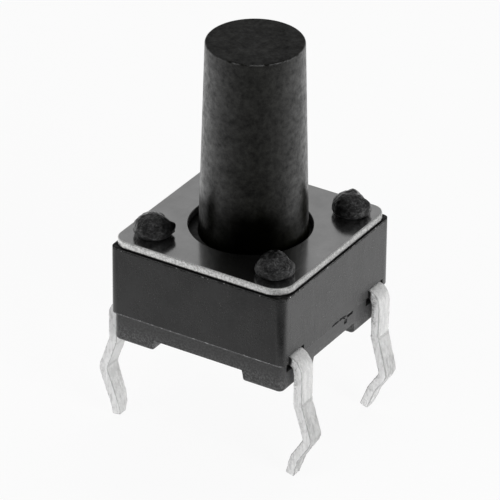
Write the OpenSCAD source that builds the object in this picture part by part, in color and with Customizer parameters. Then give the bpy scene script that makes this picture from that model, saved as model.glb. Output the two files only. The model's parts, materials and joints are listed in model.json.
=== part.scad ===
// Tactile push button switch for through-hole mounting, with a tall round plunger.
// Millimetres, +Z up along the plunger. The origin is the centre of the seating plane,
// which the four feet of the housing rest on. The leads leave the two X faces.

/* [Housing] */
// Side of the square housing
housing_side = 6; // [5.8:0.1:8]
// Height of the housing's rim above the seating plane
rim_z = 3.15; // [2.9:0.05:4]
// Radius of the housing's upright corners
corner_r = 0.1; // [0.05:0.05:0.4]
// Height of the parting step around the housing
parting_z = 0.93; // [0.6:0.01:1.5]
// How far the lower half is set in on each side
lower_inset = 0.07; // [0.02:0.01:0.15]
// Height of the underside between the feet
underside_z = 0.38; // [0.2:0.02:0.6]
// Length of a foot along X
foot_length = 1.38; // [1:0.02:1.8]
// Width of a foot along Y
foot_width = 1.8; // [1:0.05:2.2]
// Height of the land that carries the cover plate above the rim
land_height = 0.05; // [0.02:0.01:0.15]
// How far the land is set in from the rim on each side
land_inset = 0.3; // [0.1:0.05:0.4]
// Thickness of plastic over the terminals in the floor of the well
floor_skin = 0.1; // [0.05:0.05:0.3]

/* [Cover plate] */
// Thickness of the cover plate
plate_t = 0.25; // [0.15:0.05:0.4]
// How far the plate's edge is set in from the housing's faces
plate_inset = 0.04; // [0:0.01:0.2]
// Corner radius of the plate
plate_corner_r = 0.55; // [0.2:0.05:0.9]

/* [Stakes] */
// Distance of each stake's centre from the two nearest housing faces
stake_inset = 0.9; // [0.85:0.01:1.05]
// Radius of a stake's post
stake_r = 0.38; // [0.25:0.01:0.45]
// Radius of the head that is melted over each stake, at its rim
stake_head_r = 0.6; // [0.5:0.01:0.68]
// Height of a head's crown above its rim
stake_head_h = 0.5; // [0.3:0.05:0.6]
// Height of a head's rim above the plate
stake_head_rim = 0.16; // [0.05:0.01:0.25]
// How far a head laps over the plate around its hole
stake_head_lap = 0.05; // [0.02:0.01:0.07]
// Gap around a post in its hole in the plate
stake_clearance = 0.03; // [0.01:0.01:0.05]

/* [Plunger] */
// Height of the plunger's top above the seating plane
plunger_top_z = 9.5; // [5:0.5:17]
// Radius of the stem at its top
stem_top_r = 1.47; // [1:0.01:1.6]
// Radius of the stem where it leaves the cover plate
stem_base_r = 1.63; // [1.4:0.01:1.75]
// Chamfer around the stem's top
stem_chamfer = 0.05; // [0.02:0.01:0.2]
// Gap around the stem in the plate's hole
stem_clearance = 0.22; // [0.1:0.01:0.3]
// How far the flange reaches under the plate beyond its hole
flange_cover = 0.25; // [0.15:0.01:0.35]
// Thickness of the flange
flange_t = 0.6; // [0.4:0.05:0.8]
// Gap around the flange in the well
flange_clearance = 0.05; // [0.03:0.01:0.1]
// Width of the two keys that stop the plunger turning
key_width = 1; // [0.6:0.1:1.4]
// How far a key stands out from the flange
key_reach = 0.3; // [0.1:0.05:0.4]
// Radius of the boss that presses on the dome
boss_r = 0.6; // [0.3:0.05:1]
// Travel of the plunger
travel = 0.25; // [0.15:0.05:0.4]
// Gap that stays under the flange when the plunger is pressed home
flange_stop_gap = 0.1; // [0.05:0.05:0.2]

/* [Snap dome] */
// Radius of the dome at its rim
dome_r = 1.75; // [1.5:0.05:1.9]
// Thickness of the dome
dome_t = 0.08; // [0.05:0.01:0.1]
// Gap around the dome in its pocket
dome_clearance = 0.05; // [0.03:0.01:0.1]
// Gap between the boss and the crown of the dome
boss_gap = 0.01; // [0.005:0.005:0.03]
// Room left between the dome and the centre contact beyond the travel
dome_room = 0.04; // [0.01:0.01:0.1]

/* [Terminals] */
// Thickness of the strip
strip_t = 0.28; // [0.2:0.01:0.35]
// Width of the strip and its leads
strip_w = 0.66; // [0.5:0.02:0.8]
// Height of the strip's underside in the housing
strip_z = 0.88; // [0.7:0.02:1]
// Distance between the two leads on one face
lead_pitch = 4.5; // [4:0.1:4.8]
// Width of the tab to the centre contact
tab_w = 0.7; // [0.4:0.05:1]
// Width of an arm under the dome's rim
arm_w = 0.5; // [0.3:0.05:0.6]
// Length of the pad that carries the dome's rim
pad_length = 1.4; // [0.8:0.1:1.8]
// How far the pads stand out of the floor
pad_proud = 0.05; // [0.02:0.01:0.1]
// How far the centre contact stands out of the floor
contact_proud = 0.1; // [0.05:0.01:0.15]
// Radius of the centre contact
contact_r = 0.3; // [0.2:0.05:0.5]

/* [Leads] */
// Gap between a lead and the face that it leaves
lead_gap = 0.1; // [0.05:0.01:0.2]
// Inner radius of the bend beside the face
bend_r = 0.1; // [0.05:0.01:0.15]
// How far below the seating plane a lead starts to kink
kink_start = 0.32; // [0.1:0.02:0.6]
// Depth of the kink's crest below the seating plane
crest_depth = 1.56; // [1.2:0.01:1.8]
// How far the kink's crest stands out from the straight part
crest_out = 0.37; // [0.2:0.01:0.5]
// Depth of the end of the kink below the seating plane
kink_end = 2.33; // [2.1:0.01:2.6]
// How far the end of the kink lies inside the straight part
kink_in = 0.07; // [0:0.01:0.1]
// Depth of the tip below the seating plane
tip_depth = 3; // [2.9:0.05:4]
// How far the tip lies inside the straight part
tip_in = 0.2; // [0.1:0.01:0.25]
// Width of the tip
tip_w = 0.4; // [0.2:0.02:0.48]
// Length of the tapered end
tip_taper = 0.9; // [0.1:0.05:1.2]
// Inner radius of the kink's bends
kink_r = 0.1; // [0.05:0.01:0.2]

/* [Hidden] */
$fn = 64;

moulded_black = [0.11, 0.11, 0.11];
plunger_black = [0.16, 0.16, 0.16];
plate_steel = [0.55, 0.55, 0.55];
tinned = [0.86, 0.86, 0.86];
spring_steel = [0.75, 0.73, 0.68];

// What a cut runs past the faces that it goes through
through = 0.1;
half_side = housing_side / 2;
land_z = rim_z + land_height;
plate_top_z = land_z + plate_t;
plate_hole_r = stem_base_r + stem_clearance;
stake_offset = half_side - stake_inset;
stake_hole_r = stake_r + stake_clearance;
stake_foot_r = stake_hole_r + stake_head_lap;
stake_sphere_r = (stake_head_r ^ 2 + stake_head_h ^ 2) / (2 * stake_head_h);

flange_r = plate_hole_r + flange_cover;
flange_bottom_z = land_z - flange_t;
well_r = flange_r + flange_clearance;
ledge_z = flange_bottom_z - travel - flange_stop_gap;
pocket_r = dome_r + dome_clearance;

strip_top_z = strip_z + strip_t;
floor_z = strip_top_z + floor_skin;
pad_top_z = floor_z + pad_proud;
contact_top_z = floor_z + contact_proud;
strip_y = lead_pitch / 2;
arm_x = dome_r - arm_w / 4;

dome_rise = contact_top_z - pad_top_z + travel + dome_room + dome_t;
dome_crown_z = pad_top_z + dome_rise;
dome_sphere_r = (dome_r ^ 2 + dome_rise ^ 2) / (2 * dome_rise);
boss_bottom_z = dome_crown_z + boss_gap;

// The middle line of a lead, from the middle of the housing to the tip
drop_x = half_side + lead_gap + strip_t / 2;
lead_line = [
    [0, strip_z + strip_t / 2],
    [drop_x, strip_z + strip_t / 2],
    [drop_x, -kink_start],
    [drop_x + crest_out, -crest_depth],
    [drop_x - kink_in, -kink_end],
    [drop_x - tip_in, -tip_depth]
];
// Radius of the middle line at each of its bends
lead_bends = [0, bend_r, kink_r, kink_r, kink_r, 0] + strip_t / 2 * [0, 1, 1, 1, 1, 0];
// Turn of a bend that one facet takes up, in degrees
bend_step = 10;

function unit(v) = v / norm(v);
function left_of(v) = [-v.y, v.x];
function turned(v, a) = [v.x * cos(a) - v.y * sin(a), v.x * sin(a) + v.y * cos(a)];

// Points of the bend at p between the directions u and v, side to the left of a middle
// line of radius r
function bend(p, u, v, r, side) =
    let (turn = atan2(u.x * v.y - u.y * v.x, u * v),
         s = sign(turn),
         steps = ceil(abs(turn) / bend_step),
         centre = p - u * r * tan(abs(turn) / 2) + left_of(u) * s * r)
    [for (i = [0:steps]) centre + (r - s * side) * turned(-s * left_of(u), turn * i / steps)];

// One edge of a strip that follows the line, side to the left of it
function strip_edge(line, bends, side) =
    let (last = len(line) - 1,
         first_way = unit(line[1] - line[0]),
         last_way = unit(line[last] - line[last - 1]))
    concat(
        [line[0] + left_of(first_way) * side],
        [for (i = [1:last - 1])
            each bend(line[i], unit(line[i] - line[i - 1]), unit(line[i + 1] - line[i]),
                      bends[i], side)],
        [line[last] + left_of(last_way) * side]);

function reversed(list) = [for (i = [len(list) - 1:-1:0]) list[i]];

// A square with round corners, centred
module rounded_square(side, r) {
    square([side, side - 2 * r], center = true);
    square([side - 2 * r, side], center = true);
    for (x = [-1, 1], y = [-1, 1])
        translate([x, y] * (side / 2 - r)) circle(r);
}

module slab(side, r, low, high) {
    translate([0, 0, low]) linear_extrude(high - low) rounded_square(side, r);
}

module at_stakes() {
    for (x = [-1, 1], y = [-1, 1])
        translate([x * stake_offset, y * stake_offset, 0]) children();
}

// A round section with a key on each side along X
module keyed_circle(r, width, reach) {
    circle(r);
    square([2 * reach, width], center = true);
}

// A post and its melted head, which flares out to a rim and is domed above it
module stake() {
    translate([0, 0, rim_z]) cylinder(r = stake_r, h = plate_top_z - rim_z);
    translate([0, 0, plate_top_z]) rotate_extrude() {
        polygon([[0, 0], [stake_foot_r, 0], [stake_head_r, stake_head_rim],
                 [0, stake_head_rim]]);
        translate([0, stake_head_rim]) intersection() {
            translate([0, stake_head_h - stake_sphere_r]) circle(stake_sphere_r);
            square([stake_head_r, stake_head_h]);
        }
    }
}

module housing() {
    lower_side = housing_side - 2 * lower_inset;
    hollow_x = lower_side - 2 * foot_length;
    hollow_y = lower_side - 2 * foot_width;
    color(moulded_black) {
        difference() {
            union() {
                slab(lower_side, corner_r, 0, parting_z);
                slab(housing_side, corner_r, parting_z, rim_z);
                slab(housing_side - 2 * land_inset, corner_r, rim_z, land_z);
            }
            translate([0, 0, underside_z / 2 - through]) {
                cube([hollow_x, 2 * housing_side, underside_z + 2 * through], center = true);
                cube([2 * housing_side, hollow_y, underside_z + 2 * through], center = true);
            }
            translate([0, 0, ledge_z]) linear_extrude(land_z - ledge_z + through)
                keyed_circle(well_r, key_width + 2 * flange_clearance,
                            flange_r + key_reach + flange_clearance);
            translate([0, 0, floor_z]) cylinder(r = pocket_r, h = rim_z - floor_z);
            centre_strip();
            rim_strip();
        }
        at_stakes() stake();
    }
}

module cover_plate() {
    color(plate_steel) translate([0, 0, land_z]) linear_extrude(plate_t) difference() {
        rounded_square(housing_side - 2 * plate_inset, plate_corner_r);
        circle(plate_hole_r);
        at_stakes() circle(stake_hole_r);
    }
}

module plunger() {
    taper = (stem_base_r - stem_top_r) / (plunger_top_z - plate_top_z);
    color(plunger_black) {
        rotate_extrude() polygon([
            [0, boss_bottom_z],
            [boss_r, boss_bottom_z],
            [boss_r, flange_bottom_z],
            [flange_r, flange_bottom_z],
            [flange_r, land_z],
            [stem_base_r + taper * plate_t, land_z],
            [stem_top_r + taper * stem_chamfer, plunger_top_z - stem_chamfer],
            [stem_top_r - stem_chamfer, plunger_top_z],
            [0, plunger_top_z]
        ]);
        translate([0, 0, flange_bottom_z]) linear_extrude(flange_t)
            keyed_circle(flange_r, key_width, flange_r + key_reach);
    }
}

module snap_dome() {
    color(spring_steel) rotate_extrude() intersection() {
        translate([0, dome_crown_z - dome_sphere_r]) difference() {
            circle(dome_sphere_r, $fn = 180);
            circle(dome_sphere_r - dome_t, $fn = 180);
        }
        translate([0, pad_top_z]) square([2 * dome_r, dome_rise + through]);
    }
}

// A strip right across the housing, bent down into a lead at each end
module leads() {
    outline = concat(strip_edge(lead_line, lead_bends, strip_t / 2),
                     reversed(strip_edge(lead_line, lead_bends, -strip_t / 2)));
    taper_z = tip_taper - tip_depth;
    // The leads' outline seen along X, wide enough to leave the bends whole
    front = [[-tip_w / 2, -tip_depth - strip_t], [tip_w / 2, -tip_depth - strip_t],
             [tip_w / 2, -tip_depth], [strip_w / 2, taper_z], [strip_w / 2, floor_z],
             [-strip_w / 2, floor_z], [-strip_w / 2, taper_z], [-tip_w / 2, -tip_depth]];
    for (side = [0, 1]) mirror([side, 0, 0]) intersection() {
        rotate([90, 0, 0]) linear_extrude(strip_w, center = true) polygon(outline);
        rotate([90, 0, 90]) linear_extrude(housing_side) polygon(front);
    }
}

module centre_strip() {
    translate([0, -strip_y, 0]) leads();
    translate([-tab_w / 2, -strip_y, strip_z]) cube([tab_w, strip_y, strip_t]);
    translate([0, 0, strip_z]) {
        cylinder(d = tab_w, h = strip_t);
        cylinder(r = contact_r, h = contact_top_z - strip_z);
    }
}

module rim_strip() {
    translate([0, strip_y, 0]) leads();
    for (side = [-1, 1]) {
        translate([side * arm_x - arm_w / 2, -pad_length / 2, strip_z]) {
            cube([arm_w, strip_y + pad_length / 2, strip_t]);
            cube([arm_w, pad_length, pad_top_z - strip_z]);
        }
    }
}

module centre_terminal() {
    color(tinned) centre_strip();
}

module rim_terminal() {
    color(tinned) rim_strip();
}

housing();
cover_plate();
plunger();
snap_dome();
centre_terminal();
rim_terminal();
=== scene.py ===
"""Tactile push button switch: the looks of its moulded, pressed and plated parts.

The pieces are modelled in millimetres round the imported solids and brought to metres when
they are finished. The frame's origin is the centre of the seating plane, +Z up.
"""

import json
import math
from contextlib import contextmanager

import bmesh
import bpy
from bpy.props import FloatProperty, FloatVectorProperty, PointerProperty
from mathutils import Matrix, Vector


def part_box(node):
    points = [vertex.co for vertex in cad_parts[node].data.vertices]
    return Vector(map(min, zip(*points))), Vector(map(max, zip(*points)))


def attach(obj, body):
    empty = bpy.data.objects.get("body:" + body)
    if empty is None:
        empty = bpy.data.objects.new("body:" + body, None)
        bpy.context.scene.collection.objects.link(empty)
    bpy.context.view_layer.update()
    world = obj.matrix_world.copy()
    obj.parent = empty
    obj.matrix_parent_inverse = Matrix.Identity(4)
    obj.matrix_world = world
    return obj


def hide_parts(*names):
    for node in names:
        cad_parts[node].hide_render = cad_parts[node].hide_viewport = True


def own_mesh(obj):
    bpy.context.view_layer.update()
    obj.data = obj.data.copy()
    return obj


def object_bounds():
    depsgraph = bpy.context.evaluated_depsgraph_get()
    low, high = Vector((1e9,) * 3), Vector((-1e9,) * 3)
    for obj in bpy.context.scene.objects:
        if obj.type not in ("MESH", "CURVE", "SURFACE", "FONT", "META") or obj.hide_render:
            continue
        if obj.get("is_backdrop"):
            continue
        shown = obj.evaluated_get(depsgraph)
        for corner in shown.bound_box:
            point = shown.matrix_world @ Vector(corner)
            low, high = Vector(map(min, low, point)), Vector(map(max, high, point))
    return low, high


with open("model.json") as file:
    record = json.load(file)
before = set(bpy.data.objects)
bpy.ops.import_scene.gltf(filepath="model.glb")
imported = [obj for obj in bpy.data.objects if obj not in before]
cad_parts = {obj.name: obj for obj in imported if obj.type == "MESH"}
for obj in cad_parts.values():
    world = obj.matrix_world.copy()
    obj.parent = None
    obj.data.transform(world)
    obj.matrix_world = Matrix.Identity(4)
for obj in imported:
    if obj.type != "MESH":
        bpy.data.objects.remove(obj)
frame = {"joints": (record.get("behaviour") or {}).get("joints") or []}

bl_info = {
    "name": "Push Button Switch",
    "version": (1, 0, 0),
    "blender": (4, 5, 0),
    "location": "View3D > Sidebar > Switch",
    "description": "Builds a tactile push button switch piece by piece",
    "category": "Add Mesh",
}

CAD_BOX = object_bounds()
MM = 0.001
STAKES = {"left": (-1, -1), "front": (1, -1), "right": (1, 1), "back": (-1, 1)}
ACROSS, AWAY, UP = Vector((0.85, 0.53, 0.0)), Vector((-0.53, 0.85, 0.0)), Vector((0.0, 0.0, 1.0))

# The places and sizes below are in millimetres, from the middle line and from the seating plane.
FOOT_X, FOOT_Y, UNDERSIDE = 1.55, 1.13, 0.38  # the feet's inner faces and the underside between them
LAND_INSET = 0.3  # how far the land under the cover plate is set in
WELL, WELL_FLOOR = 2.15, 2.25  # radius and floor of the well round the plunger's flange
KEYWAY_END, KEYWAY_SIDE = 2.45, 0.55
POCKET, POCKET_FLOOR = 1.8, 1.26  # radius and floor of the dome's pocket
STRIP_Y, STRIP_END, LEAD_ROOT = 2.25, 2.6, 2.95  # a strip's line, the end of its straight part, its exit
SLOT_FLOOR, TAB_SIDE = 0.87, 0.35
ARM_X, ARM_SIDE, ARM_END, PAD_TOP = 1.625, 0.25, 0.7, 1.31
FACE_BENDS = {"left": 0.46, "back": 0.34}  # radius of the bend at the face, by a strip's first lead
BOSS, FLANGE, FLANGE_LOW = 0.6, 2.055, 2.6  # radii of boss and flange, the flange's underside
KEY_END, KEY_SIDE = 2.36, 0.49
OFF_CENTRE = (0.075, 0.045, 0.0)  # how far the plunger stands off the middle of its hole
STAKE_HOLE, FRONT_EASE = 0.41, 0.16  # the plate's small holes, and what its front corner is rounder by

# The two torn slits: start and end along Y, middle above the parting, half thickness, random seed
TEARS = [(-0.24, 0.47, 0.045, 0.042, 7), (0.60, 1.08, -0.105, 0.055, 11)]
# Where the melted heads ended up. The back one sits over its post.
HEADS = {"left": (-2.05, -2.10), "front": (2.17, -2.13), "right": (2.19, 2.14)}
# How the heads are drawn out of round: a point from the crown, how it moves, and how far that reaches
PULLS = {
    "left": [
        (ACROSS * 0.42 + AWAY * 0.2 - UP * 0.18, ACROSS * -0.05 - UP * 0.15, 0.34),
        (ACROSS * 0.60 - Vector((0.05, 0.1, 0.36)), ACROSS * 0.12 + UP * 0.03, 0.24),
        (ACROSS * 0.58 - UP * 0.52, ACROSS * 0.07 - UP * 0.02, 0.14),
        (ACROSS * 0.58 - UP * 0.44, ACROSS * -0.07, 0.09),
    ],
    "front": [
        (ACROSS * 0.42 + AWAY * 0.2 - UP * 0.18, ACROSS * -0.05 - UP * 0.18, 0.36),
        (ACROSS * -0.48 + AWAY * 0.15 - UP * 0.25, (0.03, 0.02, -0.06), 0.30),
        (ACROSS * -0.12 + AWAY * 0.25, UP * 0.08, 0.12),
        (ACROSS * 0.08 + AWAY * 0.25, UP * 0.05, 0.09),
    ],
    "right": [
        (ACROSS * 0.44 + AWAY * 0.2 - UP * 0.18, ACROSS * -0.10 - UP * 0.20, 0.38),
        (ACROSS * 0.06 + AWAY * 0.25, UP * 0.06, 0.20),
    ],
}
# Each lead's middle line below the bend at the face: out from the middle, height and width
LEADS = {
    "front": [(3.26, -0.45, 0.62), (3.61, -1.60, 0.62), (3.16, -2.32, 0.56), (3.02, -2.90, 0.36)],
    "left": [
        (3.20, -0.33, 0.62), (3.57, -1.38, 0.60), (3.21, -2.36, 0.55), (3.12, -2.66, 0.46),
        (3.09, -2.87, 0.32),
    ],
    "right": [(3.195, -0.42, 0.62), (3.515, -1.66, 0.60), (3.12, -2.26, 0.50), (2.86, -2.93, 0.42)],
    "back": [(3.25, -0.32, 0.66), (3.62, -1.56, 0.66), (3.18, -2.33, 0.58), (3.05, -2.99, 0.42)],
}
# Place, size and power of each lamp in metres and watts, and whether glossy parts mirror it
LAMPS = [
    ("top lamp", (0.0, 0.14, 0.19), (0.16, 0.16), 0.12, False),
    ("right lamp", (0.18, -0.07, 0.04), (0.10, 0.06), 0.40, False),
    ("left lamp", (-0.05, -0.17, 0.10), (0.16, 0.16), 0.12, False),
    ("front lamp", (0.032, -0.052, 0.185), (0.10, 0.10), 0.02, True),
]
LENS = 349.2  # the camera's focal length
AIM = (0.020, 0.794)  # how far left of and below the cover plate's middle the camera aims


def top(node):
    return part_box(node)[1].z


def bottom(node):
    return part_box(node)[0].z


# ---------------------------------------------------------------- sizes and colours


def length(name, description, default):
    return FloatProperty(
        name=name, description=description, default=default,
        min=0.0, unit="LENGTH", subtype="DISTANCE", precision=6,
    )


def angle(name, description, degrees):
    return FloatProperty(name=name, description=description, default=math.radians(degrees), subtype="ANGLE")


def colour(name, description, default):
    return FloatVectorProperty(
        name=name, description=description, default=(*default, 1.0),
        size=4, min=0.0, max=1.0, subtype="COLOR",
    )


class HousingSettings(bpy.types.PropertyGroup):
    side: length("Side", "Side of the square housing", 2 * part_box("housing")[1].x)
    rim: length("Rim", "Height of the rim above the seating plane", 0.003185)
    land: length("Land", "Height of the land that carries the cover plate", bottom("cover_plate"))
    corner: length("Corner", "Reach of the rounding of the upper half's upright corners", 0.00027)
    parting: length("Parting", "Height of the parting step", 0.00093)
    step: length("Step", "How far the lower half is set in", 0.00007)
    colour: colour("Colour", "Colour of the moulded plastic", (0.0095, 0.0095, 0.0096))


class CoverSettings(bpy.types.PropertyGroup):
    side: length("Side", "Side of the cover plate", 2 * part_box("cover_plate")[1].x)
    corner: length("Corner", "Radius of the plate's corners", 0.00046)
    hole: length("Hole", "Radius of the hole around the plunger", 0.00185)
    colour: colour("Colour", "Colour of the rolled face", (0.58, 0.58, 0.58))
    edge_colour: colour("Edge colour", "Colour of the sheared edge", (0.95, 0.95, 0.94))


class PlungerSettings(bpy.types.PropertyGroup):
    top: length("Top", "Height of the plunger's top", top("plunger"))
    top_radius: length("Top radius", "Radius of the stem at its top", 0.00147)
    base_radius: length("Base radius", "Radius of the stem at the cover plate", 0.00163)
    colour: colour("Colour", "Colour of the plunger's plastic", (0.0016, 0.0016, 0.0009))


class StakeSettings(bpy.types.PropertyGroup):
    offset: length("Offset", "Distance of a stake from the middle along X and Y", 0.0021)
    post: length("Post", "Radius of a post", 0.00038)
    head: length("Head", "Radius of a head at its rim", 0.0006)
    crown: length("Crown", "Height of a head above the plate", 0.00066)
    colour: colour("Colour", "Colour of the melted plastic", (0.003, 0.003, 0.00305))


class LeadSettings(bpy.types.PropertyGroup):
    pitch: length("Pitch", "Distance between two leads on one face", 0.0045)
    width: length("Width", "Width of the strip", 0.00066)
    thickness: length("Thickness", "Thickness of the strip", 0.00028)
    height: length("Height", "Height of the strip's middle plane in the housing", 0.00102)
    colour: colour("Colour", "Colour of the tin plating", (0.88, 0.88, 0.875))


class DomeSettings(bpy.types.PropertyGroup):
    radius: length("Radius", "Radius of the dome at its rim", 0.00175)
    thickness: length("Thickness", "Thickness of the spring sheet", 0.00008)
    colour: colour("Colour", "Colour of the spring steel", (0.60, 0.57, 0.51))


class StageSettings(bpy.types.PropertyGroup):
    azimuth: angle("Azimuth", "Turn of the camera round the switch", 31.795)
    elevation: angle("Elevation", "Height angle of the camera", 29.909)
    roll: angle("Roll", "Turn of the camera about its own axis", 0.51)
    distance: length("Distance", "Distance of the camera from the switch", 0.14314)
    floor_colour: colour("Floor", "Colour of the floor", (0.80, 0.80, 0.80))


# ---------------------------------------------------------------- modelling


def mm(value):
    return value / MM


def pick(*pieces):
    """Selects these pieces alone. The last one is active."""
    bpy.ops.object.select_all(action="DESELECT")
    for piece in pieces:
        piece.select_set(True)
    bpy.context.view_layer.objects.active = pieces[-1]


@contextmanager
def editing(piece):
    """Edit mode on one piece, which alone is selected."""
    pick(piece)
    bpy.ops.object.mode_set(mode="EDIT")
    yield
    bpy.ops.object.mode_set(mode="OBJECT")


def choose(piece, kind, test):
    """Selects the corners, edges or faces of a piece in edit mode that pass the test."""
    bpy.ops.mesh.select_mode(type=kind)
    bpy.ops.mesh.select_all(action="DESELECT")
    shape = bmesh.from_edit_mesh(piece.data)
    for part in {"VERT": shape.verts, "EDGE": shape.edges, "FACE": shape.faces}[kind]:
        if test(part):
            part.select_set(True)
    shape.select_flush_mode()
    bmesh.update_edit_mesh(piece.data)


def outwards():
    """Turns all faces of the piece in edit mode outwards."""
    bpy.ops.mesh.select_all(action="SELECT")
    bpy.ops.mesh.normals_make_consistent(inside=False)


def middle(edge):
    return (edge.verts[0].co + edge.verts[1].co) / 2


def way(edge):
    return (edge.verts[1].co - edge.verts[0].co).normalized()


def upright(edge):
    return abs(way(edge).z) > 0.9


def crosswise(edge):
    """Whether an edge runs along Y, which is across the strips."""
    return abs(way(edge).y) > 0.9


def lip(edge, height):
    """Whether an edge at that height is sharp and sticks out."""
    return near(middle(edge).z, height) and edge.is_convex and edge.calc_face_angle(0) > 1


def bevelled(piece, test, width, segments, **shape):
    """Rounds the edges of a piece in edit mode that pass the test."""
    choose(piece, "EDGE", test)
    bpy.ops.mesh.bevel(offset=width, segments=segments, affect="EDGES", **shape)


def modify(piece, kind, **settings):
    """Adds a modifier to a piece and applies it."""
    pick(piece)
    modifier = piece.modifiers.new(kind.lower(), kind)
    for name, value in settings.items():
        setattr(modifier, name, value)
    bpy.ops.object.modifier_apply(modifier=modifier.name)


def cut(piece, tool, operation="DIFFERENCE"):
    """Cuts a piece with a tool, or joins them, and throws the tool away."""
    modify(piece, "BOOLEAN", object=tool, operation=operation, solver="EXACT")
    bpy.data.objects.remove(tool)


def settle():
    """Brings the active object's place and size into its mesh."""
    bpy.ops.object.transform_apply(location=True, rotation=True, scale=True)
    return bpy.context.object


def block(name, low, high):
    """A box between two corners, to be shaped or to cut with."""
    low, high = Vector(low), Vector(high)
    bpy.ops.mesh.primitive_cube_add(size=1, location=(low + high) / 2, scale=high - low)
    piece = settle()
    piece.name = name
    return piece


def turned(name, rings, facets=96, at=(0.0, 0.0)):
    """A round solid whose outline is (radius, height) pairs from its first face to its last."""
    radius, height = rings[0]
    bpy.ops.mesh.primitive_circle_add(
        vertices=facets, radius=radius, fill_type="NGON", location=(*at, height)
    )
    piece = settle()
    piece.name = name
    with editing(piece):
        bpy.ops.mesh.select_mode(type="FACE")
        bpy.ops.mesh.select_all(action="SELECT")
        for wider, higher in rings[1:]:
            bpy.ops.mesh.extrude_region_move(TRANSFORM_OT_translate={"value": (0.0, 0.0, higher - height)})
            growth = wider / radius
            bpy.ops.transform.resize(value=(growth, growth, 1.0), center_override=(*at, higher))
            radius, height = wider, higher
        outwards()
    return piece


def joined(piece, *others):
    """Makes several objects one piece."""
    pick(*others, piece)
    bpy.ops.object.join()
    return piece


def rounded(piece, width, segments=2, angle=35):
    modify(
        piece, "BEVEL", width=width, segments=segments, limit_method="ANGLE",
        angle_limit=math.radians(angle), use_clamp_overlap=True, miter_outer="MITER_ARC",
    )


def finished(piece, name, body, nodes, angle=40):
    """Brings a piece to metres, smooths it and ties it to the frame."""
    pick(piece)
    piece.scale = (MM, MM, MM)
    settle()
    bpy.ops.object.shade_smooth_by_angle(angle=math.radians(angle))
    modify(piece, "WEIGHTED_NORMAL", mode="FACE_AREA", weight=60, keep_sharp=True)
    piece.name = piece.data.name = name
    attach(piece, body)
    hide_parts(*nodes)
    return piece


def near(value, target, slack=0.005):
    return abs(value - target) < slack


# ---------------------------------------------------------------- materials


class Value:
    """A socket of a finish that can be written in sums."""

    def __init__(self, finish, socket):
        self.finish = finish
        self.socket = socket

    def __add__(self, other):
        return self.finish.maths("ADD", self, other)

    def __sub__(self, other):
        return self.finish.maths("SUBTRACT", self, other)

    def __rsub__(self, other):
        return self.finish.maths("SUBTRACT", other, self)

    def __mul__(self, other):
        return self.finish.maths("MULTIPLY", self, other)

    def __truediv__(self, other):
        return self.finish.maths("DIVIDE", self, other)

    def __abs__(self):
        return self.finish.maths("ABSOLUTE", self)

    __radd__ = __add__
    __rmul__ = __mul__


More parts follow.
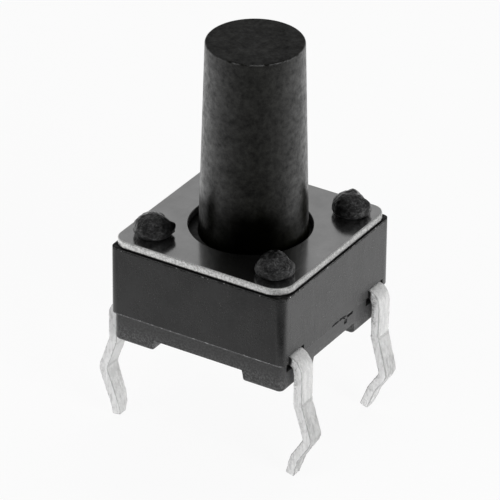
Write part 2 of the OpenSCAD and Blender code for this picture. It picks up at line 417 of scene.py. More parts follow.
class Finish:
    """A node material, or the world's nodes, under construction."""

    FLAT = (1.0, 1.0, 0.0)
    EVEN = (1.0, 1.0, 1.0)

    def __init__(self, owner, base=None):
        owner.use_nodes = True
        self.owner = owner
        self.base = base
        self.tree = owner.node_tree
        self.tree.nodes.clear()

    def node(self, kind, settings=None, sockets=None, output=0):
        """Adds a node, sets it up, and then gives its sockets their values or links."""
        made = self.tree.nodes.new("ShaderNode" + kind)
        for name, value in (settings or {}).items():
            if name == "stops":
                for stop, (place, tone) in zip(made.color_ramp.elements, value):
                    stop.position = place
                    stop.color = grey(tone)
            else:
                setattr(made, name, value)
        for key, value in (sockets or {}).items():
            if isinstance(value, Value):
                self.tree.links.new(value.socket, made.inputs[key])
            else:
                made.inputs[key].default_value = value
        return Value(self, made.outputs[output]) if made.outputs else None

    def maths(self, operation, *inputs):
        return self.node("Math", {"operation": operation}, dict(enumerate(inputs)))

    def place(self, size=1.0, stretch=EVEN):
        """Object coordinates in units of so many millimetres."""
        scale = [s / (size * MM) for s in stretch]
        where = self.node("TexCoord", output="Object")
        return self.node("Mapping", {}, {"Vector": where, "Scale": scale})

    def along(self, vector, axis):
        """How far a vector reaches along X, Y, Z or another direction."""
        if isinstance(axis, str):
            return self.node("SeparateXYZ", {}, {"Vector": vector}, output=axis)
        return self.node("VectorMath", {"operation": "DOT_PRODUCT"}, {0: vector, 1: axis}, output="Value")

    def at(self, axis):
        """The place along an axis in millimetres. Along Z it is the height above the seating plane."""
        return self.along(self.place(), axis)

    def facing(self, axis):
        """How much the surface faces along an axis, from -1 to 1."""
        return self.along(self.node("NewGeometry", output="Normal"), axis)

    def reach(self):
        """Distance from the switch's middle line in millimetres."""
        flat = self.place(1.0, self.FLAT)
        return self.node("VectorMath", {"operation": "LENGTH"}, {0: flat}, output="Value")

    def noise(self, size, detail=3.0, rough=0.5, stretch=EVEN, distortion=0.0):
        """Noise of about that grain in millimetres, from 0 to 1."""
        sockets = {"Vector": self.place(size, stretch), "Scale": 1.0, "Detail": detail}
        return self.node("TexNoise", {}, {**sockets, "Roughness": rough, "Distortion": distortion})

    def ramp(self, value, start, end, low=0.0, high=1.0):
        """Low up to the start and high from the end on, by way of a colour ramp."""
        return self.node("ValToRGB", {"stops": ((start, low), (end, high))}, {"Fac": value})

    def slope(self, value, start, end, low=0.0, high=1.0, smooth=False):
        """Low up to the start and high from the end on, with a straight or a smooth rise between."""
        return self.node(
            "MapRange", {"interpolation_type": "SMOOTHSTEP" if smooth else "LINEAR"},
            {"Value": value, "From Min": start, "From Max": end, "To Min": low, "To Max": high},
        )

    def near(self, value, target, full, none):
        """1 where a value is close to its target, falling smoothly to 0 outside."""
        return self.slope(abs(value - target), full, none, 1.0, 0.0, smooth=True)

    def wide(self, noise):
        """A noise whose middle values are spread over 0 to 1."""
        return self.ramp(noise, 0.32, 0.68)

    def shade(self, tone):
        """For a plain number the finish's own colour times it, and a colour as it is."""
        if isinstance(tone, float):
            return (*(min(1.0, c * tone) for c in self.base[:3]), 1.0)
        return tone

    def mix(self, factor, first, second):
        """A colour between two shades. The node's colour sockets have no names of their own."""
        sockets = {0: factor, 6: self.shade(first), 7: self.shade(second)}
        return self.node("Mix", {"data_type": "RGBA"}, sockets, output=2)

    def bump(self, height, depth, strength=1.0, under=None):
        """A normal for a relief whose height runs from 0 to 1 over that depth in millimetres."""
        sockets = {"Strength": strength, "Distance": depth * MM, "Height": height}
        if under is not None:
            sockets["Normal"] = under
        return self.node("Bump", {}, sockets)

    def surface(self, **sockets):
        """The shader itself, and the material's output."""
        titles = [name.replace("_", " ").title().replace("Ior", "IOR") for name in sockets]
        shader = self.node("BsdfPrincipled", {}, dict(zip(titles, sockets.values())))
        self.node("OutputMaterial", {}, {"Surface": shader})
        return self.owner


def grey(tone):
    return (tone, tone, tone, 1.0)


def material(name, base=None):
    return Finish(bpy.data.materials.new(name), base)


def moulded_plastic(settings):
    """Smooth black moulding: faint clouding, a fine grain, a paler parting line and crumbs of flash, with
    painted shadow on the ledge and in a ragged band under the cover plate.
    """
    f = material("moulded black", settings.colour)
    side, rim, parting = mm(settings.side), mm(settings.rim), mm(settings.parting)
    clouds = f.noise(0.9, 4.0, 0.6)
    grain = f.noise(0.06, 3.0, 0.6)
    flow = f.noise(0.35, 3.0, 0.5, (1.0, 1.0, 0.12))
    specks = f.ramp(f.noise(0.10, 2.0, 0.5), 0.50, 0.66)
    crumbs = f.ramp(f.noise(0.09, 1.0, 0.5, (0.6, 0.6, 1.0)), 0.66, 0.72)
    scuffs = f.ramp(f.noise(0.5, 5.0, 0.65, (1.0, 1.0, 0.35), 0.6), 0.55, 0.75)
    height = f.at("Z")
    line = f.near(height, parting + 0.013, 0.018, 0.034) * (0.30 + specks * 0.70)
    line = line * (1.0 - f.ramp(f.facing("X"), 0.4, 0.7))
    lower = f.slope(height, parting - 0.03, parting + 0.01, 1.0, 0.0)
    skirt = f.slope(height + clouds * 0.3, 0.45, 0.85, 1.0, 0.0) * f.ramp(grain, 0.45, 0.65)
    flash = f.near(height, rim - 0.035, 0.014, 0.03) * crumbs
    # Painted shadow: a ragged dark band just under the rim, where the cover plate's edge casts shade. The
    # same mask sinks the relief there.
    ragged_shadow = f.ramp(f.noise(0.14, 4.0, 0.7), 0.44, 0.54)
    ragged_shadow = ragged_shadow * f.near(height, rim - 0.013, 0.022, 0.050)
    # Painted shadow: the rim's upward ledge is near black under the cover plate's overhang. Only at the
    # plate's corners is it paler, with crumbs.
    ledge = f.slope(height + grain * 0.03, rim - 0.005, rim + 0.007) * f.ramp(f.facing("Z"), 0.0, 0.4)
    corners = f.slope(abs(f.at("X")) + abs(f.at("Y")), side - 0.50, side - 0.32)
    tone = f.mix(f.wide(clouds), 0.7, 1.6)
    tone = f.mix(lower * (0.35 + f.ramp(grain, 0.40, 0.60) * 0.65), tone, 4.6)
    tone = f.mix(skirt * 0.5, tone, 15.0)
    tone = f.mix(ledge * (1.0 - corners), tone, 0.1)
    tone = f.mix(ledge * corners, tone, f.mix(crumbs, 3.0, 24.0))
    tone = f.mix(ragged_shadow, tone, 0.1)
    tone = f.mix(line * 0.8, tone, 38.0)
    tone = f.mix(flash, tone, 60.0)
    soft = f.bump(1.0 - ragged_shadow, 0.06, 1.0, f.bump(clouds * 0.6 + flow * 0.4, 0.014))
    return f.surface(
        base_color=tone,
        roughness=0.20 + clouds * 0.08 + scuffs * 0.07 + grain * 0.06 + lower * 0.10 + ledge * 0.5,
        specular_ior_level=0.58, normal=f.bump(grain, 0.004, 1.0, soft),
    )


def melted_plastic(base):
    """Black plastic that was melted over: crumpled, in paler creases and patches, with painted shade and
    less gloss on the sides towards the stem.
    """
    f = material("melted black", base)
    folds = f.noise(0.20, 5.0, 0.62, (0.8, 0.8, 1.6), 0.8)
    fine = f.noise(0.07, 4.0, 0.7, (0.8, 0.8, 1.3), 0.5)
    creases = f.near(folds, 0.52, 0.012, 0.05) * f.ramp(fine, 0.36, 0.60)
    patches = f.wide(f.noise(0.42, 4.0, 0.6, distortion=0.5))
    # Painted shade: the heads are dark and duller on their sides towards the stem, standing in for the
    # stem's shade and dark reflection, and full away from it.
    clear_of_stem_shade = f.slope(f.reach(), 2.45, 3.10)
    tone = f.mix(f.wide(fine) * (0.4 + patches * 0.6), 0.3, 9.0)
    tone = f.mix(creases * (0.20 + patches * 0.35), tone, 30.0)
    tone = f.mix(clear_of_stem_shade, 0.3, tone)
    return f.surface(
        base_color=tone, roughness=0.22 + folds * 0.18, specular_ior_level=0.12,
        coat_weight=(0.30 + patches * 0.70) * (0.60 + f.wide(fine) * 0.40) * (0.25 + clear_of_stem_shade * 0.75),
        coat_roughness=0.26, coat_ior=1.52, normal=f.bump(fine, 0.008, 0.9, f.bump(folds, 0.026, 0.9)),
    )


def plunger_plastic(settings):
    """Spark-eroded black moulding: a matt mottle and dark pits, with painted shade at the foot, darkest in
    a wedge on the front side, and a painted highlight along the top edge.
    """
    f = material("plunger black", settings.colour)
    high, plate = mm(settings.top), mm(top("cover_plate"))
    front_way = (0.53, -0.85, 0.0)
    clouds = f.noise(0.55, 4.0, 0.6)
    mottle = f.noise(0.20, 6.0, 0.75)
    pits = f.ramp(f.noise(0.07, 2.0, 0.5), 0.26, 0.36, 1.0, 0.0)
    height = f.at("Z")
    face = f.slope(height, high - 0.010, high - 0.003, 1.0, 0.52)
    # Painted shade: the stem is darker and duller near the cover plate, where shade falls between the
    # parts.
    foot_shade_factor = f.slope(height + clouds * 0.8, plate - 0.15, plate + 1.15, 0.5, 1.0, smooth=True)
    # Painted shade: a darker wedge at the foot on the front side, towards (0.53, -0.85).
    front = f.slope(f.at(front_way) + clouds * 0.2, 1.25, 1.66, 0.0, 0.97)
    front = front * f.slope(height + clouds * 0.6, plate + 1.05, plate + 2.05, 1.0, 0.0, smooth=True)
    foot_shade_factor = foot_shade_factor * (1.0 - front)
    # Painted highlight: a broken pale line just below the top, where the rounded edge catches the light.
    top_edge_highlight = f.near(height, high - 0.038, 0.010, 0.026) * f.ramp(f.noise(0.25, 4.0, 0.7), 0.40, 0.56)
    tone = f.mix(f.wide(clouds) * 0.3 + f.wide(mottle) * 0.7, 0.05, 2.4)
    tone = f.mix(pits * 0.8, tone, 0.05)
    tone = f.mix(foot_shade_factor, 0.2, tone)
    tone = f.mix(top_edge_highlight * 0.45, tone, grey(0.10))
    gloss = 0.38 + f.wide(mottle) * 0.78 + f.wide(clouds) * 0.25
    return f.surface(
        base_color=tone, roughness=0.45, specular_ior_level=0.0,
        coat_weight=gloss * face * foot_shade_factor, coat_roughness=0.30, coat_ior=1.62,
        normal=f.bump(mottle * 0.8 - pits * 0.6, 0.012, 0.9, f.bump(clouds, 0.02, 0.7)),
    )


def rolled_steel(base):
    """Cold rolled cover sheet: a soft mirror with a rolling grain and slight waves."""
    f = material("rolled steel", base)
    rolling = f.noise(0.05, 4.0, 0.6, (0.05, 1.0, 1.0))
    waves = f.noise(1.6, 2.0, 0.4)
    stains = f.noise(0.6, 4.0, 0.6)
    scratches = f.ramp(f.noise(0.05, 2.0, 0.5, (1.0, 0.04, 1.0), 0.4), 0.66, 0.74)
    tone = f.mix(f.wide(stains), 0.93, 1.07)
    tone = f.mix(scratches * 0.25, tone, 1.4)
    return f.surface(
        base_color=tone, metallic=0.99, roughness=0.13 + stains * 0.06 + scratches * 0.08,
        normal=f.bump(rolling, 0.0008, 0.7, f.bump(waves, 0.004, 0.6)),
    )


def sheared_steel(settings):
    """The sheared edge of the cover sheet: bright and spotted, with painted shadow on its torn lower part,
    and painted shade on its +X side, on the rolled-over top there and round the hole.
    """
    f = material("sheared steel", settings.edge_colour)
    half, hole = mm(settings.side) / 2, mm(settings.hole)
    low, high = mm(bottom("cover_plate")), mm(top("cover_plate"))
    tears = f.noise(0.09, 4.0, 0.7, (1.0, 1.0, 0.5))
    spots = f.ramp(f.noise(0.07, 3.0, 0.65), 0.36, 0.60)
    height = f.at("Z")
    # Painted shade: the edge is darker, in spots, where it faces +X.
    facing = f.ramp(f.facing("X"), 0.80, 0.98)
    border = f.slope(f.at("X"), half - 0.09, half - 0.04)
    # Painted shade: the edge round the plunger's hole is darker, for the shade in the hole.
    inside = f.slope(f.reach(), hole + 0.11, hole + 0.19, 1.0, 0.0)
    # Painted shadow: the torn lower part of the edge is near black, for the dark gap under the plate.
    torn_edge_shadow = f.slope(height + tears * 0.05, low + 0.057, low + 0.084, 1.0, 0.0)
    # Painted shade: the rolled-over top of the edge is darker on the +X side.
    rolled = f.slope(height + tears * 0.03, high - 0.05, high + 0.005)
    tone = f.mix(spots, 0.66, 1.05)
    tone = f.mix(facing * 0.85, tone, f.mix(spots, 0.30, 0.60))
    tone = f.mix(rolled * border * 0.5, tone, 0.16)
    tone = f.mix(inside, tone, 0.22)
    tone = f.mix(torn_edge_shadow, tone, 0.04)
    return f.surface(
        base_color=tone, metallic=0.82, roughness=0.34 + tears * 0.14, normal=f.bump(tears, 0.014, 0.8)
    )


def tin_plating(base):
    """Tinned strip: satin, streaked along the lead, darker along its outward slant, with painted shade at
    the bends and along the rounded edges, and grubby spots.
    """
    f = material("tin plating", base)
    streaks = f.noise(0.06, 4.0, 0.65, (1.0, 1.0, 0.12))
    grain = f.noise(0.05, 4.0, 0.65)
    stains = f.noise(0.22, 5.0, 0.70, (1.0, 1.0, 0.5), 0.8)
    scuffs = f.ramp(stains, 0.52, 0.66)
    blotches = f.ramp(f.noise(0.16, 5.0, 0.70, (1.0, 1.0, 0.4), 0.5), 0.42, 0.62)
    height, across = f.at("Z"), f.at("X")
    drawn = f.near(height, -1.05, 0.50, 0.75)
    # Painted shade: dark, grainy lines across the bends, and at the knee of the leads at -X.
    bend = f.near(height + stains * 0.16, -0.36, 0.025, 0.07)
    knee_shade = f.near(height + stains * 0.16, -1.22, 0.03, 0.09) * f.slope(across, -1.0, 0.0, 1.0, 0.0)
    handled = f.slope(height, -1.0, -0.4, 1.0, 0.25) * f.slope(across, -1.0, 1.0, 0.3, 1.0)
    # Painted shade: the rounded long edges of the flat faces are darker.
    arris_shade = f.ramp(abs(f.facing("Y")), 0.12, 0.40)
    tone = f.mix(f.wide(grain) * 0.35 + f.wide(streaks) * 0.65, 0.62, 1.06)
    tone = f.mix(drawn * (0.45 + f.wide(stains) * 0.55), tone, 0.70)
    tone = f.mix(bend * f.wide(grain) * 0.9, tone, 0.42)
    tone = f.mix(knee_shade * f.wide(grain) * 0.9, tone, 0.36)
    tone = f.mix(scuffs * 0.6, tone, 0.72)
    tone = f.mix(blotches * handled * 0.75, tone, 0.42)
    tone = f.mix(arris_shade * (0.4 + f.wide(streaks) * 0.6), tone, 0.42)
    return f.surface(
        base_color=tone, metallic=0.55, roughness=0.38 + streaks * 0.08 + scuffs * 0.10,
        normal=f.bump(grain * 0.6 + scuffs * 0.4, 0.014, 0.9, f.bump(streaks, 0.014, 0.8)),
    )


def sheared_tin(base):
    """The sheared sides of the strip: rough and streaked along the cut, with painted shade on their rounded
    borders and painted shadow where they leave the housing.
    """
    f = material("sheared tin", base)
    streaks = f.noise(0.05, 4.0, 0.65, (1.0, 1.0, 0.10), 0.4)
    tears = f.noise(0.10, 4.0, 0.7, (1.0, 1.0, 0.5))
    crumbs = f.ramp(f.noise(0.07, 4.0, 0.75), 0.52, 0.60)
    height, across = f.at("Z"), f.at("X")
    # Painted shadow: the sides are near black, with a ragged end, where they leave the housing.
    root = f.slope(abs(across) + tears * 0.10, 3.07, 3.13, 1.0, 0.0) * f.slope(height, 0.55, 0.90)
    # Dark specks on the sides of the leads at +X, near the housing.
    exit_specks = f.near(height, 0.50, 0.35, 0.70) * crumbs
    exit_specks = exit_specks * f.slope(across, 3.13, 3.27, 1.0, 0.0) * f.slope(across, 0.0, 1.0)
    # Painted shade: the sides are darker along their rounded borders.
    border = f.ramp(abs(f.facing("Y")), 0.86, 0.98, 1.0, 0.0)
    tone = f.mix(f.wide(streaks), 0.90, 1.16)
    tone = f.mix(f.ramp(tears, 0.52, 0.64) * 0.5, tone, 0.60)
    tone = f.mix(border * 0.8, tone, 0.45)
    tone = f.mix(exit_specks * 0.8, tone, 0.22)
    tone = f.mix(root, tone, 0.03)
    return f.surface(
        base_color=tone, metallic=0.45, roughness=0.34 + streaks * 0.12,
        normal=f.bump(tears, 0.02, 0.8, f.bump(streaks, 0.014, 0.8)),
    )


def spring_steel(base):
    """Stamped spring sheet with rings from the forming punch."""
    f = material("spring steel", base)
    rings = f.node(
        "TexWave", {"wave_type": "RINGS", "rings_direction": "Z"},
        {"Vector": f.place(0.5), "Scale": 3.0, "Distortion": 1.0, "Detail": 2.0},
    )
    stains = f.noise(0.4, 4.0, 0.6)
    return f.surface(
        base_color=f.mix(stains, 0.85, 1.1), metallic=1.0,
        roughness=0.22 + stains * 0.08, normal=f.bump(rings, 0.001, 0.4),
    )


# ---------------------------------------------------------------- pieces


def well_cutters(land):
    """The hollows of the housing, from its mouth down to the strips."""
    mouth, gap = land + 0.1, 0.01
    yield turned("well", [(WELL, WELL_FLOOR), (WELL, mouth)])
    yield block("keyways", (-KEYWAY_END, -KEYWAY_SIDE, WELL_FLOOR), (KEYWAY_END, KEYWAY_SIDE, mouth))
    yield turned("dome pocket", [(POCKET, POCKET_FLOOR), (POCKET, WELL_FLOOR + 0.05)])
    for side in (-1, 1):
        y, arm = side * STRIP_Y, side * ARM_X
        yield block("slot", (-4, y - 0.345, 0.865), (4, y + 0.345, 1.175))
        low, high = arm - ARM_SIDE - gap, arm + ARM_SIDE + gap
        yield block("arm slot", (low, -ARM_END, SLOT_FLOOR), (high, 2.0, 1.3))
        for end in (-1, 1):
            x = end * 2.97
            yield block("lead notch", (x - 0.19, y - 0.42, 0.62), (x + 0.19, y + 0.42, 1.185))
    yield block("tab slot", (-TAB_SIDE - gap, -2.0, SLOT_FLOOR), (TAB_SIDE + gap, 0.0, 1.17))
    yield turned("contact slot", [(TAB_SIDE + gap, SLOT_FLOOR), (TAB_SIDE + gap, 1.3)], 32)


def gate_tears(half, parting):
    """The two ragged slits and the pit that the broken gate left along the parting line."""
    for start, end, level, thick, seed in TEARS:
        level += parting
        tool = block("tear", (half - 0.14, start, level - thick), (half + 0.2, end, level + thick))
        with editing(tool):
            choose(tool, "EDGE", crosswise)
            bpy.ops.mesh.subdivide(number_cuts=18)
            choose(tool, "VERT", lambda v: start + 0.01 < v.co.y < end - 0.01)
            bpy.ops.transform.vertex_random(offset=0.022, uniform=0.0, normal=0.0, seed=seed)
            choose(tool, "VERT", lambda v: v.co.y < start + 0.01 or v.co.y > end - 0.01)
            bpy.ops.transform.resize(value=(1, 1, 0.2), center_override=(half, start, level))
            outwards()
        yield tool
    yield turned("pit", [(0.085, parting - 0.31), (0.085, parting - 0.17)], 12, (half - 0.06, 0.66))


def stake_rings(settings):
    """The outline of a post and of the head that was melted over the plate."""
    post, head, crown = mm(settings.post), mm(settings.head), mm(settings.crown)
    plate = mm(top("cover_plate"))
    brim, steps = 0.19, 9
    outline = [
        (post, 3.12), (post, plate - 0.02), (0.44, plate - 0.005), (0.47, plate + 0.02),
        (head - 0.05, plate + 0.09), (head - 0.012, plate + 0.125), (head, plate + 0.155),
        (head - 0.004, plate + brim),
    ]
    for step in range(1, steps + 1):
        turn = math.pi / 2 * step / (steps + 0.4)
        outline.append((head * math.cos(turn) ** 0.85, plate + brim + (crown - brim) * math.sin(turn)))
    return outline


def pulled(piece, at, by, reach):
    """Draws a piece's surface out round a point, as one pulls soft plastic."""
    with editing(piece):
        shape = bmesh.from_edit_mesh(piece.data)
        nearest = min(shape.verts, key=lambda v: (v.co - Vector(at)).length)
        place = nearest.co.copy()
        choose(piece, "VERT", lambda v: (v.co - place).length < 1e-4)
        bpy.ops.transform.translate(
            value=by, use_proportional_edit=True,
            proportional_edit_falloff="SMOOTH", proportional_size=reach,
        )


def crumpled(piece, size, depth, direction="NORMAL", group=""):
    """Displaces a piece's surface with noise of that grain."""
    texture = bpy.data.textures.new("crumple", "CLOUDS")
    texture.noise_scale = size
    modify(
        piece, "DISPLACE", texture=texture, strength=depth, mid_level=0.5, direction=direction,
        texture_coords="LOCAL", vertex_group=group,
    )


def grouped(piece, name, test):
    """Names the corners of a piece that pass the test."""
    group = piece.vertex_groups.new(name=name)
    group.add([v.index for v in piece.data.vertices if test(v)], 1.0, "REPLACE")


def stake(settings, corner):
    """A melted head on its post."""
    x, y = STAKES[corner]
    offset, plate = mm(settings.offset), mm(top("cover_plate"))
    at = (x * offset, y * offset)
    centre = HEADS.get(corner, at)
    piece = turned("stake", stake_rings(settings), 56, at)
    with editing(piece):
        choose(piece, "VERT", lambda v: v.co.z > plate + 0.01)
        bpy.ops.transform.translate(value=(centre[0] - at[0], centre[1] - at[1], 0))
        choose(piece, "FACE", lambda f: len(f.verts) > 4)
        bpy.ops.mesh.inset(thickness=0.02)
        bpy.ops.mesh.poke()
    grouped(piece, "head", lambda v: v.co.z > plate + 0.03)
    crown = Vector((*centre, plate + 0.66))
    for place, by, reach in PULLS.get(corner, ()):
        pulled(piece, crown + place, by, reach)
    modify(piece, "SUBSURF", levels=2, render_levels=2)
    crumpled(piece, 0.30, 0.07, group="head")
    crumpled(piece, 0.10, 0.032, group="head")
    piece.vertex_groups.clear()
    return piece


class SWITCH_OT_housing(bpy.types.Operator):
    """Model the moulded housing with its well, feet and melted stakes"""

    bl_idname = "switch.housing"
    bl_label = "Housing"

    def execute(self, context):
        settings = context.scene.switch_housing
        rim, land, parting = mm(settings.rim), mm(settings.land), mm(settings.parting)
        half = mm(settings.side) / 2
        low_half = half - mm(settings.step)
        piece = block("housing", (-half, -half, parting), (half, half, rim))
        with editing(piece):
            bevelled(piece, upright, mm(settings.corner), 9, profile=0.64)
            choose(piece, "FACE", lambda f: f.normal.z > 0.9)
            bpy.ops.mesh.extrude_region_move(TRANSFORM_OT_translate={"value": (0, 0, 0)})
            inset = (half - LAND_INSET) / half
            bpy.ops.transform.resize(value=(inset, inset, 1))
            bpy.ops.mesh.extrude_region_move(TRANSFORM_OT_translate={"value": (0, 0, land - rim)})
            bevelled(piece, lambda e: lip(e, parting), 0.018, 3)
            bevelled(piece, lambda e: lip(e, rim), 0.013, 3)
        lower = block("lower half", (-low_half, -low_half, 0), (low_half, low_half, parting + 0.2))
        with editing(lower):
            bevelled(lower, upright, 0.19, 6)
            bevelled(lower, lambda e: near(middle(e).z, 0), 0.13, 4)
        cut(piece, lower, "UNION")
        cut(piece, block("cross", (-FOOT_X, -4, -1), (FOOT_X, 4, UNDERSIDE)))
        cut(piece, block("cross", (-4, -FOOT_Y, -1), (4, FOOT_Y, UNDERSIDE)))

        def foot_edge(edge):
            x, y, z = middle(edge)
            sharp = edge.is_convex and edge.calc_face_angle(0) > 0.6
            around = near(abs(x), FOOT_X) or near(abs(y), FOOT_Y) or near(z, 0)
            return sharp and around and z < UNDERSIDE - 0.02

        with editing(piece):
            bevelled(piece, foot_edge, 0.09, 3)
            bevelled(piece, lambda e: lip(e, UNDERSIDE), 0.03, 2)
        for tool in well_cutters(land):
            cut(piece, tool)
        for tool in gate_tears(half, parting):
            cut(piece, tool)
        nub = block("nub", (half - 0.05, 0.47, parting - 0.05), (half + 0.03, 0.57, parting + 0.03))
        cut(piece, nub, "UNION")
        with editing(piece):
            choose(piece, "EDGE", lambda e: e.calc_face_angle(0) > 0.42)
            bpy.ops.mesh.mark_sharp()
        stakes = context.scene.switch_stakes
        heads = [stake(stakes, corner) for corner in STAKES]
        piece.data.materials.append(moulded_plastic(settings))
        melted = melted_plastic(stakes.colour)
        for head in heads:
            head.data.materials.append(melted)
        joined(piece, *heads)
        finished(piece, "moulded_housing", "body", ["housing"])
        return {"FINISHED"}


class SWITCH_OT_cover(bpy.types.Operator):
    """Model the pressed cover plate with its rolled top and sheared edge"""

    bl_idname = "switch.cover"
    bl_label = "Cover plate"

    def execute(self, context):
        settings = context.scene.switch_cover
        half, corner, hole = mm(settings.side) / 2, mm(settings.corner), mm(settings.hole)
        low, high = mm(bottom("cover_plate")), mm(top("cover_plate"))
        piece = block("cover", (-half, -half, low), (half, half, high))

        def forward(edge):
            return middle(edge).x - middle(edge).y

        with editing(piece):
            bevelled(piece, lambda e: upright(e) and forward(e) < half, corner, 12)
            bevelled(piece, lambda e: upright(e) and forward(e) > half * 1.9, corner + FRONT_EASE, 12)
        cut(piece, turned("hole", [(hole, low - 1), (hole, high + 1)], 128))
        offset = mm(context.scene.switch_stakes.offset)
        for x, y in STAKES.values():
            at = (x * offset, y * offset)
            cut(piece, turned("stake hole", [(STAKE_HOLE, low - 1), (STAKE_HOLE, high + 1)], 40, at))
        with editing(piece):
            bevelled(piece, lambda e: lip(e, high), 0.045, 4)
            bevelled(piece, lambda e: lip(e, low), 0.015, 2)
        piece.data.materials.append(rolled_steel(settings.colour))
        piece.data.materials.append(sheared_steel(settings))
        for face in piece.data.polygons:
            face.material_index = int(abs(face.normal.z) < 0.96)
        finished(piece, "steel_cover", "body", ["cover_plate"])
        return {"FINISHED"}


class SWITCH_OT_plunger(bpy.types.Operator):
    """Model the plunger with its stem, keyed flange and boss"""

    bl_idname = "switch.plunger"
    bl_label = "Plunger"

    def execute(self, context):
        settings = context.scene.switch_plunger
        high, narrow, wide = mm(settings.top), mm(settings.top_radius), mm(settings.base_radius)
        plate, land = mm(top("cover_plate")), mm(bottom("cover_plate"))
        low = mm(bottom("plunger"))
        root = wide + (wide - narrow) / (high - plate) * (plate - land)
        steps, shoulder = 14, high - 0.06
        outline = [
            (0.56, low), (0.59, low + 0.01), (BOSS, low + 0.04), (BOSS, FLANGE_LOW),
            (FLANGE - 0.04, FLANGE_LOW), (FLANGE, FLANGE_LOW + 0.04),
            (FLANGE, land - 0.04), (FLANGE - 0.04, land),
            (root + 0.06, land), (root + 0.015, land + 0.015), (root, land + 0.06),
        ]
        for step in range(1, steps):
            share = step / steps
            outline.append((wide + (narrow - wide) * share, plate + (shoulder - plate) * share))
        outline += [(narrow, shoulder), (narrow - 0.008, high - 0.03)]
        outline += [(narrow - 0.025, high - 0.01), (narrow - 0.05, high)]
        piece = turned("plunger", outline, 128)
        keys = block("keys", (-KEY_END, -KEY_SIDE, FLANGE_LOW), (KEY_END, KEY_SIDE, land))
        rounded(keys, 0.05, 3)
        cut(piece, keys, "UNION")
        piece.location = OFF_CENTRE
        pick(piece)
        settle()
        piece.data.materials.append(plunger_plastic(settings))
        finished(piece, "moulded_plunger", "button", ["plunger"])
        return {"FINISHED"}


class SWITCH_OT_dome(bpy.types.Operator):
    """Model the spring dome that the plunger presses"""

    bl_idname = "switch.dome"
    bl_label = "Spring dome"

    def execute(self, context):
        settings = context.scene.switch_dome
        radius, sheet = mm(settings.radius), mm(settings.thickness)
        low, high = mm(bottom("snap_dome")), mm(top("snap_dome"))
        rise = high - low
        ball = (radius**2 + rise**2) / (2 * rise)
        steps = 20
        turns = [math.asin(radius / ball) * (1 - step / steps) for step in range(steps)]
        outline = [(ball * math.sin(turn), high - ball + ball * math.cos(turn)) for turn in turns]
        piece = turned("dome", outline, 96)
        with editing(piece):
            choose(piece, "FACE", lambda f: len(f.verts) > 4 and f.calc_center_median().z < low + 0.01)
            bpy.ops.mesh.delete(type="FACE")
            outwards()
        modify(piece, "SOLIDIFY", thickness=sheet, offset=-1.0, use_even_offset=True)
        with editing(piece):
            choose(piece, "VERT", lambda v: v.co.z < low)
            bpy.ops.transform.resize(value=(1, 1, 0), center_override=(0, 0, low))
        rounded(piece, 0.012)
        piece.data.materials.append(spring_steel(settings.colour))
        finished(piece, "spring_dome", "body", ["snap_dome"])
        joint = frame["joints"][0]
        travel = mm(joint["range_m"][1])
        (rise - travel) / rise
        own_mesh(piece)
        return {"FINISHED"}


def strip(settings, y, corners):
    """A strip across the housing with a bent lead at each end."""
    width, sheet, level = mm(settings.width), mm(settings.thickness), mm(settings.height)
    bpy.ops.mesh.primitive_plane_add(size=1, location=(0, y, level))
    bpy.context.object.scale = (2 * STRIP_END, width, 1)
    piece = settle()
    for side, corner in zip((-1, 1), corners):
        bends = LEADS[corner]
        line = [(STRIP_END, level, width), (bends[0][0], level, width), *bends]
        for (x0, z0, w0), (x1, z1, w1) in zip(line, line[1:]):
            with editing(piece):
                choose(
                    piece, "EDGE",
                    lambda e: crosswise(e) and near(middle(e).x, side * x0) and near(middle(e).z, z0),
                )
                move = (side * (x1 - x0), 0, z1 - z0)
                bpy.ops.mesh.extrude_region_move(TRANSFORM_OT_translate={"value": move})
                bpy.ops.transform.resize(value=(1, w1 / w0, 1), center_override=(0, y - width / 2, 0))

    def bend(edge):
        return crosswise(edge) and len(edge.link_faces) == 2

    def at_face(edge):
        return crosswise(edge) and near(middle(edge).z, level) and abs(middle(edge).x) > 3

    def hanging(edge):
        return abs(way(edge).y) < 0.5 and middle(edge).z < level - 0.4 and edge.calc_length() > 0.25

    with editing(piece):
        bevelled(piece, at_face, FACE_BENDS[corners[0]], 8)
        bevelled(piece, lambda e: bend(e) and -2 < middle(e).z < -1, 0.12, 2)
        bevelled(piece, lambda e: bend(e) and (middle(e).z < -2 or -1 < middle(e).z < -0.1), 0.06, 3)
        choose(piece, "EDGE", hanging)
        bpy.ops.mesh.subdivide(number_cuts=7)
        choose(piece, "EDGE", lambda e: crosswise(e) and abs(middle(e).x) > 2.8)
        bpy.ops.mesh.subdivide(number_cuts=9)
    modify(piece, "SOLIDIFY", thickness=sheet, offset=0.0, use_even_offset=True)
    rounded(piece, 0.045, 3, 50)
    return piece


def weathered(piece):
    """Gives the bent leads their uneven sheared sides and a slightly wavy face."""
    grouped(piece, "leads", lambda v: abs(v.co.x) > LEAD_ROOT)
    modify(piece, "SUBSURF", subdivision_type="SIMPLE", levels=1, render_levels=1)
    grouped(piece, "sides", lambda v: abs(v.co.x) > LEAD_ROOT and abs(v.normal.y) > 0.5)
    crumpled(piece, 0.18, 0.02, group="leads")
    crumpled(piece, 0.06, 0.025, group="leads")
    crumpled(piece, 0.10, 0.045, "Y", group="sides")
    piece.vertex_groups.clear()


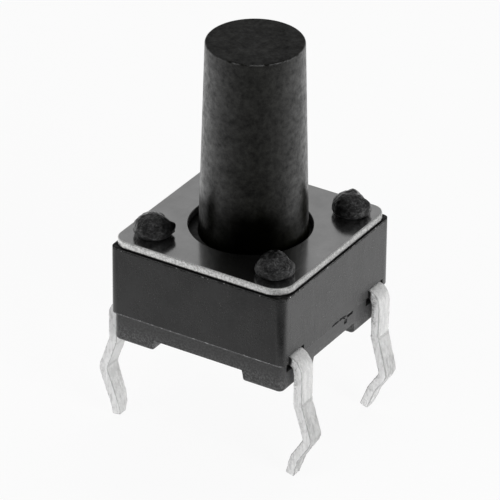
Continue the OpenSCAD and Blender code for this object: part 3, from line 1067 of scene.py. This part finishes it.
class SWITCH_OT_strips(bpy.types.Operator):
    """Model the two tinned strips with their contacts and bent leads"""

    bl_idname = "switch.strips"
    bl_label = "Strips and leads"

    def execute(self, context):
        settings = context.scene.switch_leads
        sheet, level = mm(settings.thickness), mm(settings.height)
        y = mm(settings.pitch) / 2
        low, high = level - sheet / 2, level + sheet / 2
        flat, side = tin_plating(settings.colour), sheared_tin(settings.colour)
        front = strip(settings, -y, ("left", "front"))
        back = strip(settings, y, ("back", "right"))
        cut(front, block("tab", (-TAB_SIDE, -y, low), (TAB_SIDE, 0, high)), "UNION")
        button = [(TAB_SIDE, low), (TAB_SIDE, high), (0.3, high), (0.3, 1.33), (0.27, 1.36)]
        cut(front, turned("contact", button, 40), "UNION")
        for hand in (-1, 1):
            near_side, far_side = hand * ARM_X - ARM_SIDE, hand * ARM_X + ARM_SIDE
            cut(back, block("arm", (near_side, -ARM_END, low), (far_side, y, high)), "UNION")
            cut(back, block("pad", (near_side, -ARM_END, level), (far_side, ARM_END, PAD_TOP)), "UNION")
        for piece, name, node in (
            (front, "centre_contact_strip", "centre_terminal"), (back, "rim_contact_strip", "rim_terminal")
        ):
            weathered(piece)
            piece.data.materials.clear()
            piece.data.materials.append(flat)
            piece.data.materials.append(side)
            for face in piece.data.polygons:
                tip = face.normal.z < -0.9 and face.center.z < -2.8
                face.material_index = int(abs(face.normal.y) > 0.8 or tip)
            finished(piece, name, "body", [node])
        return {"FINISHED"}


# ---------------------------------------------------------------- stage


def lamp(name, place, size, power, mirrored):
    """A soft lamp that faces the switch. Not mirrored, it lights without showing in glossy parts."""
    aim = Vector((0, 0, 0.002)) - Vector(place)
    bpy.ops.object.light_add(type="AREA", location=place, rotation=aim.to_track_quat("-Z", "Y").to_euler())
    light = bpy.context.object
    light.name = name
    light.data.shape = "RECTANGLE"
    light.data.size, light.data.size_y = size
    light.data.energy = power
    light.visible_glossy = mirrored


def pale_floor(settings, away, side):
    """White to the camera, pale under the shadow, and to mirroring parts a sheen that varies around."""
    f = material("pale floor")
    seen = f.node("LightPath", output="Is Camera Ray")
    glossy, through = (f.node("LightPath", output=f"Is {kind} Ray") for kind in ("Glossy", "Transmission"))
    mirrored = f.maths("MAXIMUM", glossy, through)
    reach, depth = f.reach(), f.at(away)
    bright = 0.92 + (depth * 0.60 + f.at(side) * 0.03) / reach
    ring = f.near(reach, 15.8, 0.8, 3.6) * f.near(depth, -18.0, 6.0, 14.0)
    front = f.slope(depth / reach, -0.74, -0.86, smooth=True) * f.near(reach, 13.0, 2.4, 4.5)
    close = f.slope(reach, 11.5, 14.0, 0.66, 0.0, smooth=True)
    bright = f.maths("MAXIMUM", bright * (1.0 - ring * 0.92), close)
    bright = f.maths("MINIMUM", bright * (1.0 - front * 0.92), 1.0)
    pale = f.node("BsdfDiffuse", {}, {"Color": tuple(settings.floor_colour)})
    white = f.node("Emission", {}, {"Color": grey(1.0), "Strength": 1.0})
    sheen = f.node("Emission", {}, {"Color": bright, "Strength": 1.0})
    surface = f.node("MixShader", {}, {0: mirrored, 1: pale, 2: sheen})
    surface = f.node("MixShader", {}, {0: seen * 0.92, 1: surface, 2: white})
    f.node("OutputMaterial", {}, {"Surface": surface})
    return f.owner


def studio(away):
    """A room that is white to the camera, dark above and in front, and lighter low behind the switch."""
    w = Finish(bpy.data.worlds.new("studio"))
    seen = w.node("LightPath", output="Is Camera Ray")
    where = w.node("TexCoord", output="Generated")
    behind = w.slope(w.along(where, away), -0.4, 0.35, 0.05, 0.36, smooth=True)
    low = w.slope(w.along(where, "Z"), 0.12, 0.45, 1.5, 1.0, smooth=True)
    room = w.node("Background", {}, {"Color": behind * low, "Strength": 1.0})
    white = w.node("Background", {}, {"Color": grey(1.0), "Strength": 1.0})
    w.node("OutputWorld", {}, {"Surface": w.node("MixShader", {}, {0: seen, 1: room, 2: white})})
    return w.owner


def camera(settings):
    """A long lens that looks down at the switch."""
    az, el, roll = settings.azimuth, settings.elevation, settings.roll
    back = Vector((math.sin(az) * math.cos(el), -math.cos(az) * math.cos(el), math.sin(el)))
    right = Vector((math.cos(az), math.sin(az), 0))
    up = back.cross(right)
    across = right * math.cos(roll) + up * math.sin(roll)
    upwards = up * math.cos(roll) - right * math.sin(roll)
    aim = Vector((0, 0, top("cover_plate"))) - across * AIM[0] * MM - upwards * AIM[1] * MM
    turn = Matrix((across, upwards, back)).transposed()
    bpy.ops.object.camera_add(location=aim + back * settings.distance, rotation=turn.to_euler())
    made = bpy.context.object
    made.data.sensor_width = 36.0
    made.data.lens = LENS
    made.data.clip_start, made.data.clip_end = 0.01, 10.0
    return made


class SWITCH_OT_stage(bpy.types.Operator):
    """Set up the floor, the soft lamps and the camera"""

    bl_idname = "switch.stage"
    bl_label = "Stage"

    def execute(self, context):
        settings = context.scene.switch_stage
        scene = context.scene
        away = (-math.sin(settings.azimuth), math.cos(settings.azimuth), 0.0)
        side = (math.cos(settings.azimuth), math.sin(settings.azimuth), 0.0)
        bpy.ops.mesh.primitive_plane_add(size=3.0, location=(0, 0, CAD_BOX[0].z))
        floor = settle()
        floor.name = "floor"
        floor.data.materials.append(pale_floor(settings, away, side))
        floor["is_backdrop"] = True
        scene.world = studio(away)
        for setup in LAMPS:
            lamp(*setup)
        scene.camera = camera(settings)
        scene.view_settings.view_transform = "Standard"
        return {"FINISHED"}


class SWITCH_PT_panel(bpy.types.Panel):
    """The switch's pieces and their sizes"""

    bl_label = "Push Button Switch"
    bl_idname = "SWITCH_PT_panel"
    bl_space_type = "VIEW_3D"
    bl_region_type = "UI"
    bl_category = "Switch"

    def draw(self, context):
        layout = self.layout
        for operator, group in STEPS:
            box = layout.box()
            box.operator(operator.bl_idname)
            settings = getattr(context.scene, group)
            for name in settings.__annotations__:
                box.prop(settings, name)


GROUPS = {
    "switch_housing": HousingSettings,
    "switch_stakes": StakeSettings,
    "switch_cover": CoverSettings,
    "switch_plunger": PlungerSettings,
    "switch_dome": DomeSettings,
    "switch_leads": LeadSettings,
    "switch_stage": StageSettings,
}
STEPS = [
    (SWITCH_OT_housing, "switch_housing"),
    (SWITCH_OT_cover, "switch_cover"),
    (SWITCH_OT_plunger, "switch_plunger"),
    (SWITCH_OT_dome, "switch_dome"),
    (SWITCH_OT_strips, "switch_leads"),
    (SWITCH_OT_stage, "switch_stage"),
]


def register():
    for name, group in GROUPS.items():
        bpy.utils.register_class(group)
        setattr(bpy.types.Scene, name, PointerProperty(type=group))
    for operator, _ in STEPS:
        bpy.utils.register_class(operator)
    bpy.utils.register_class(SWITCH_PT_panel)


def unregister():
    bpy.utils.unregister_class(SWITCH_PT_panel)
    for operator, _ in reversed(STEPS):
        bpy.utils.unregister_class(operator)
    for name, group in reversed(GROUPS.items()):
        delattr(bpy.types.Scene, name)
        bpy.utils.unregister_class(group)


def main():
    register()
    bpy.ops.switch.housing()
    bpy.ops.switch.cover()
    bpy.ops.switch.plunger()
    bpy.ops.switch.dome()
    bpy.ops.switch.strips()
    bpy.ops.switch.stage()
    sizes = {"cad": CAD_BOX, "visual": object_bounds()}
    {name: [list(corner) for corner in box] for name, box in sizes.items()}


if __name__ == "__main__":
    main()
